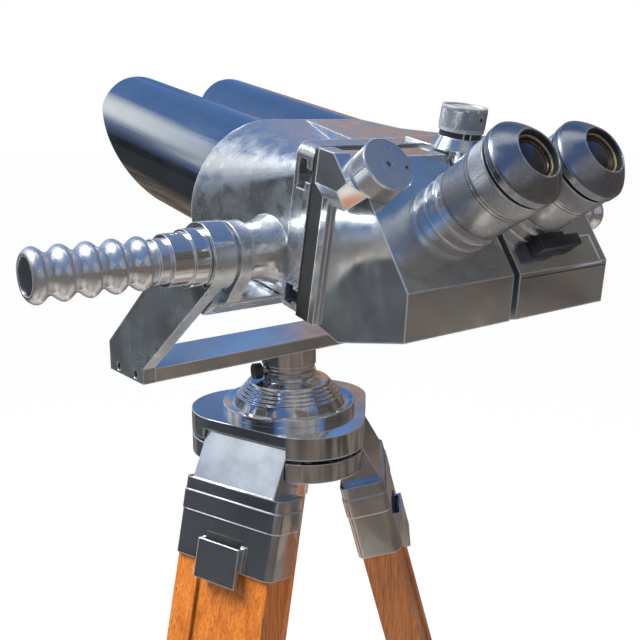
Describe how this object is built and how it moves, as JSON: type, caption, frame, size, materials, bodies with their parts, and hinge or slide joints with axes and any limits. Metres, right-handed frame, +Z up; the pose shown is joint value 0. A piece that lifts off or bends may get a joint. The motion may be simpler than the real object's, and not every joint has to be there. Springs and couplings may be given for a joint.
{
  "type": "binoculars on tripod",
  "caption": "Large polished-metal observation binoculars with angled eyepieces, side grips, a cranked yoke and a folding wooden tripod.",
  "frame": {"origin": "mouth of the plumb hole in the centre of the tripod head's underside", "axes": "+Z up along the pan axis, +Y the way the binoculars look, +X to the observer's right"},
  "size_m": [0.5965, 0.6301, 1.2842],
  "materials": {
    "cast_aluminium": "polished",
    "tube_aluminium": "polished",
    "satin_aluminium": "satin",
    "handle_chrome": "polished",
    "black_metal": "satin",
    "steel": "brushed",
    "rubber_black": "matte",
    "coated_glass": "polished",
    "oak_varnished": "varnished"
  },
  "bodies": {
    "stand": {"tripod_head": "cast_aluminium", "lug_caps": "cast_aluminium", "hinge_pins": "steel", "pan_bearing": "cast_aluminium"},
    "yoke": {"yoke_bar": "cast_aluminium", "yoke_arm_left": "cast_aluminium", "yoke_arm_right": "cast_aluminium", "pan_hub": "cast_aluminium"},
    "optics": {"front_casting": "cast_aluminium", "front_flange": "cast_aluminium", "seal_strip": "rubber_black", "hood_left": "tube_aluminium", "hood_right": "tube_aluminium", "objective_cell_left": "black_metal", "objective_cell_right": "black_metal", "objective_lens_left": "coated_glass", "objective_lens_right": "coated_glass", "cradle": "cast_aluminium", "trunnion_left": "tube_aluminium", "trunnion_right": "tube_aluminium", "grip_left": "handle_chrome", "grip_right": "handle_chrome", "grip_cap_left": "black_metal", "grip_cap_right": "black_metal", "turret_bracket": "cast_aluminium", "turret_scale": "black_metal"},
    "turret": {"turret_knob": "satin_aluminium"},
    "half_left": {"rear_housing_left": "cast_aluminium", "filter_box_left": "cast_aluminium", "eyepiece_tube_left": "satin_aluminium"},
    "filter_left": {"filter_knob_left": "satin_aluminium"},
    "focus_left": {"focus_ring_left": "satin_aluminium"},
    "cup_left": {"eyecup_left": "satin_aluminium", "eye_lens_left": "coated_glass"},
    "half_right": {"rear_housing_right": "cast_aluminium", "filter_box_right": "cast_aluminium", "eyepiece_tube_right": "satin_aluminium"},
    "filter_right": {"filter_knob_right": "satin_aluminium"},
    "focus_right": {"focus_ring_right": "satin_aluminium"},
    "cup_right": {"eyecup_right": "satin_aluminium", "eye_lens_right": "coated_glass"},
    "leg_1": {"leg_top_1": "cast_aluminium", "leg_rails_1": "oak_varnished", "leg_collar_1": "cast_aluminium"},
    "knob_1": {"leg_knob_1": "black_metal"},
    "lower_1": {"lower_leg_1": "oak_varnished", "shoe_1": "steel"},
    "leg_2": {"leg_top_2": "cast_aluminium", "leg_rails_2": "oak_varnished", "leg_collar_2": "cast_aluminium"},
    "knob_2": {"leg_knob_2": "black_metal"},
    "lower_2": {"lower_leg_2": "oak_varnished", "shoe_2": "steel"},
    "leg_3": {"leg_top_3": "cast_aluminium", "leg_rails_3": "oak_varnished", "leg_collar_3": "cast_aluminium"},
    "knob_3": {"leg_knob_3": "black_metal"},
    "lower_3": {"lower_leg_3": "oak_varnished", "shoe_3": "steel"}
  },
  "joints": [
    {"name": "pan", "type": "hinge", "parent": "stand", "child": "yoke", "pos_m": [0, 0, 0.116], "axis": [0, 0, 1], "continuous": true},
    {"name": "tilt", "type": "hinge", "parent": "yoke", "child": "optics", "pos_m": [0, -0.117, 0.2433], "axis": [1, 0, 0], "range_deg": [-30, 75]},
    {"name": "ipd_left", "type": "slide", "parent": "optics", "child": "half_left", "axis": [-1, 0, 0], "range_m": [-0.0025, 0.004]},
    {"name": "ipd_right", "type": "slide", "parent": "optics", "child": "half_right", "axis": [1, 0, 0], "range_m": [-0.0025, 0.004]},
    {"name": "turret_spin", "type": "hinge", "parent": "optics", "child": "turret", "pos_m": [0, -0.19728, 0.30896], "axis": [0, -0.1942, 0.981], "range_deg": [-18, 29]},
    {"name": "filter_turn_left", "type": "hinge", "parent": "half_left", "child": "filter_left", "pos_m": [-0.089, -0.21169, 0.29779], "axis": [0, -0.831, 0.5563], "range_deg": [0, 270]},
    {"name": "focus_turn_left", "type": "hinge", "parent": "half_left", "child": "focus_left", "pos_m": [-0.0325, -0.22911, 0.27178], "axis": [0, -0.831, 0.5563], "range_deg": [-120, 120]},
    {"name": "cup_rise_left", "type": "slide", "parent": "half_left", "child": "cup_left", "axis": [0, -0.831, 0.5563], "range_m": [-0.002, 0.002]},
    {"name": "filter_turn_right", "type": "hinge", "parent": "half_right", "child": "filter_right", "pos_m": [0.089, -0.21169, 0.29779], "axis": [0, -0.831, 0.5563], "range_deg": [0, 270]},
    {"name": "focus_turn_right", "type": "hinge", "parent": "half_right", "child": "focus_right", "pos_m": [0.0325, -0.22911, 0.27178], "axis": [0, -0.831, 0.5563], "range_deg": [-120, 120]},
    {"name": "cup_rise_right", "type": "slide", "parent": "half_right", "child": "cup_right", "axis": [0, -0.831, 0.5563], "range_m": [-0.002, 0.002]},
    {"name": "leg_fold_1", "type": "hinge", "parent": "stand", "child": "leg_1", "pos_m": [-0.05041, -0.01638, 0.0523], "axis": [0.309, -0.9511, 0], "range_deg": [0, 14.5]},
    {"name": "leg_slide_1", "type": "slide", "parent": "leg_1", "child": "lower_1", "axis": [-0.2462, -0.08, -0.9659], "range_m": [0, 0.4]},
    {"name": "knob_turn_1", "type": "hinge", "parent": "leg_1", "child": "knob_1", "pos_m": [-0.2741, -0.08906, -0.69219], "axis": [-0.9187, -0.2985, 0.2588], "range_deg": [0, 180]},
    {"name": "leg_fold_2", "type": "hinge", "parent": "stand", "child": "leg_2", "pos_m": [0.03939, -0.03546, 0.0523], "axis": [0.6691, 0.7431, 0], "range_deg": [0, 14.5]},
    {"name": "leg_slide_2", "type": "slide", "parent": "leg_2", "child": "lower_2", "axis": [0.1923, -0.1732, -0.9659], "range_m": [0, 0.4]},
    {"name": "knob_turn_2", "type": "hinge", "parent": "leg_2", "child": "knob_2", "pos_m": [0.21418, -0.19285, -0.69219], "axis": [0.7178, -0.6463, 0.2588], "range_deg": [0, 180]},
    {"name": "leg_fold_3", "type": "hinge", "parent": "stand", "child": "leg_3", "pos_m": [0.01102, 0.05184, 0.0523], "axis": [-0.9781, 0.2079, 0], "range_deg": [0, 14.5]},
    {"name": "leg_slide_3", "type": "slide", "parent": "leg_3", "child": "lower_3", "axis": [0.0538, 0.2532, -0.9659], "range_m": [0, 0.4]},
    {"name": "knob_turn_3", "type": "hinge", "parent": "leg_3", "child": "knob_3", "pos_m": [0.05992, 0.28191, -0.69219], "axis": [0.2008, 0.9448, 0.2588], "range_deg": [0, 180]}
  ],
  "couplings": [
    {"joint": "ipd_right", "follows": "ipd_left", "ratio": 1},
    {"joint": "turret_spin", "follows": "ipd_left", "rad_per_m": 125},
    {"joint": "focus_turn_left", "follows": "cup_rise_left", "rad_per_m": 1047},
    {"joint": "focus_turn_right", "follows": "cup_rise_right", "rad_per_m": 1047}
  ]
}
